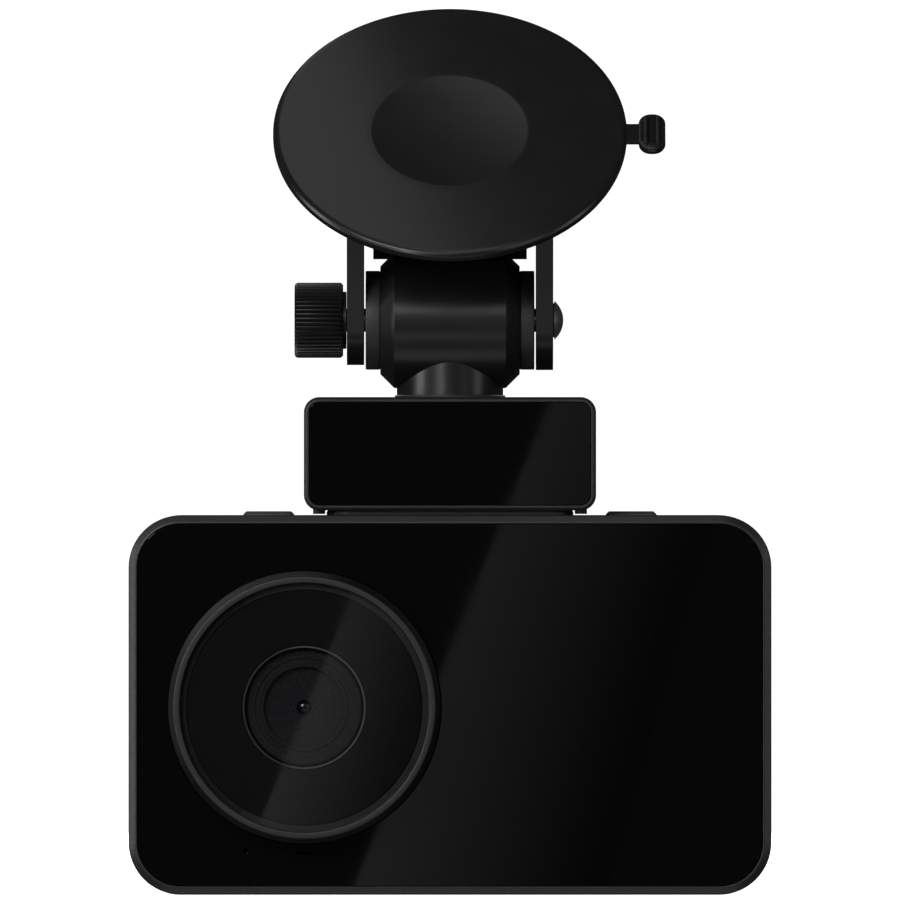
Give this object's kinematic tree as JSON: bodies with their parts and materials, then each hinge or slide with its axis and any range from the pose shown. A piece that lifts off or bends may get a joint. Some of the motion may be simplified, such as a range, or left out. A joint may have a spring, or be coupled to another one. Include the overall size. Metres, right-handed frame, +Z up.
{
  "type": "dash camera",
  "caption": "Windscreen dash camera with a glossy front, round lens turret, docked receiver module and a tilting, swivelling lever-lock suction mount.",
  "frame": {"origin": "centre of the camera body's flat underside", "axes": "+Z up through the mount, -Y out of the lens, +X to the right when looking at the lens"},
  "size_m": [0.0831, 0.0443, 0.1149],
  "materials": {
    "body_plastic": "fine satin black shell",
    "module_plastic": "fine satin black shell",
    "panel_glass": "black-backed polished panel",
    "cover_glass": "dark polished cover glass",
    "lens_glass": "coated optical glass",
    "inner_black": "deep matt black",
    "accent": "fine turned ring",
    "steel": "plain steel",
    "dark_steel": "black-plated steel",
    "circuit_board": "solder mask",
    "component": "moulded component",
    "aluminium": "plain sheet",
    "capacitor_sleeve": "shrink sleeve",
    "display": "dark display cell",
    "brass": "gold-plated brass",
    "magnet": "nickel-plated magnet",
    "key_plastic": "satin black key",
    "antenna_ceramic": "patch antenna ceramic",
    "mount_plastic": "satin black moulding",
    "rubber": "firm black rubber",
    "pad_rubber": "soft matt black rubber",
    "knob_plastic": "ribbed black moulding"
  },
  "bodies": {
    "camera": {"front_frame": "body_plastic", "front_glass": "panel_glass", "rear_housing": "body_plastic", "screen_glass": "panel_glass", "lcd_module": "display", "case_screws": "steel", "lens_turret": "body_plastic", "lens_cover_glass": "cover_glass", "lens_hood": "inner_black", "lens_accent_ring": "accent", "lens_barrel": "inner_black", "lens_elements": "lens_glass", "lens_holder": "inner_black", "lens_screws": "steel", "sensor_board": "circuit_board", "image_sensor": "component", "main_board": "circuit_board", "board_screws": "steel", "processor": "component", "heat_spreader": "aluminium", "supercapacitors": "capacitor_sleeve", "speaker": "component", "microphone": "component", "card_socket": "steel", "usb_socket": "steel", "tact_switches": "component", "contact_plate": "body_plastic", "contact_pads": "brass", "camera_magnets": "magnet"},
    "card": {"memory_card": "component"},
    "button_left": {"top_button_left": "key_plastic"},
    "button_right": {"top_button_right": "key_plastic"},
    "key_1": {"rear_key_1": "key_plastic"},
    "key_2": {"rear_key_2": "key_plastic"},
    "key_3": {"rear_key_3": "key_plastic"},
    "key_4": {"rear_key_4": "key_plastic"},
    "module": {"module_frame": "module_plastic", "module_glass": "panel_glass", "module_shell": "module_plastic", "module_board": "circuit_board", "module_antenna": "antenna_ceramic", "module_magnets": "magnet", "module_usb_socket": "steel", "pogo_barrels": "brass", "swivel_washer": "key_plastic"},
    "pogo": {"pogo_tips": "brass"},
    "swivel": {"swivel_barrel": "mount_plastic", "swivel_retainer": "steel", "friction_discs": "rubber"},
    "mount": {"yoke_arm_left": "mount_plastic", "yoke_arm_right": "mount_plastic", "cup_housing": "mount_plastic", "suction_pad": "pad_rubber", "clamp_screw": "dark_steel"},
    "stud": {"pull_stud": "mount_plastic", "lever_pin": "steel"},
    "lever": {"cam_lever": "mount_plastic"},
    "knob": {"clamp_knob": "knob_plastic", "knob_nut": "brass"}
  },
  "joints": [
    {"name": "module_release", "type": "slide", "parent": "camera", "child": "module", "axis": [0, 0, 1], "range_m": [0, 0.02]},
    {"name": "pogo_extend", "type": "slide", "parent": "module", "child": "pogo", "axis": [0, 0, -1], "range_m": [0, 0.0005]},
    {"name": "neck_swivel", "type": "hinge", "parent": "module", "child": "swivel", "pos_m": [0, 0, 0.0742], "axis": [0, 0, 1], "range_deg": [-180, 180]},
    {"name": "mount_tilt", "type": "hinge", "parent": "swivel", "child": "mount", "pos_m": [0, 0, 0.0742], "axis": [1, 0, 0], "range_deg": [-40, 60]},
    {"name": "knob_turn", "type": "hinge", "parent": "mount", "child": "knob", "pos_m": [0, 0, 0.0742], "axis": [1, 0, 0], "range_deg": [0, 360]},
    {"name": "stud_pull", "type": "slide", "parent": "mount", "child": "stud", "axis": [0, 0.7071, -0.7071], "range_m": [0, 0.0012], "deforming": ["suction_pad"]},
    {"name": "lever_swing", "type": "hinge", "parent": "stud", "child": "lever", "pos_m": [0, -0.0011, 0.08879], "axis": [1, 0, 0], "range_deg": [0, 90]},
    {"name": "card_slide", "type": "slide", "parent": "camera", "child": "card", "axis": [1, 0, 0], "range_m": [0, 0.016]},
    {"name": "press_button_left", "type": "slide", "parent": "camera", "child": "button_left", "axis": [0, 0, -1], "range_m": [0, 0.0003], "stiffness_N_per_m": 1500, "springref_m": -0.0002},
    {"name": "press_button_right", "type": "slide", "parent": "camera", "child": "button_right", "axis": [0, 0, -1], "range_m": [0, 0.0003], "stiffness_N_per_m": 1500, "springref_m": -0.0002},
    {"name": "press_key_1", "type": "slide", "parent": "camera", "child": "key_1", "axis": [0, -1, 0], "range_m": [0, 0.0003], "stiffness_N_per_m": 1500, "springref_m": -0.0002},
    {"name": "press_key_2", "type": "slide", "parent": "camera", "child": "key_2", "axis": [0, -1, 0], "range_m": [0, 0.0003], "stiffness_N_per_m": 1500, "springref_m": -0.0002},
    {"name": "press_key_3", "type": "slide", "parent": "camera", "child": "key_3", "axis": [0, -1, 0], "range_m": [0, 0.0003], "stiffness_N_per_m": 1500, "springref_m": -0.0002},
    {"name": "press_key_4", "type": "slide", "parent": "camera", "child": "key_4", "axis": [0, -1, 0], "range_m": [0, 0.0003], "stiffness_N_per_m": 1500, "springref_m": -0.0002}
  ],
  "couplings": [
    {"joint": "pogo_extend", "follows": "module_release", "ratio": 0.025},
    {"joint": "lever_swing", "follows": "stud_pull", "rad_per_m": 1309}
  ]
}
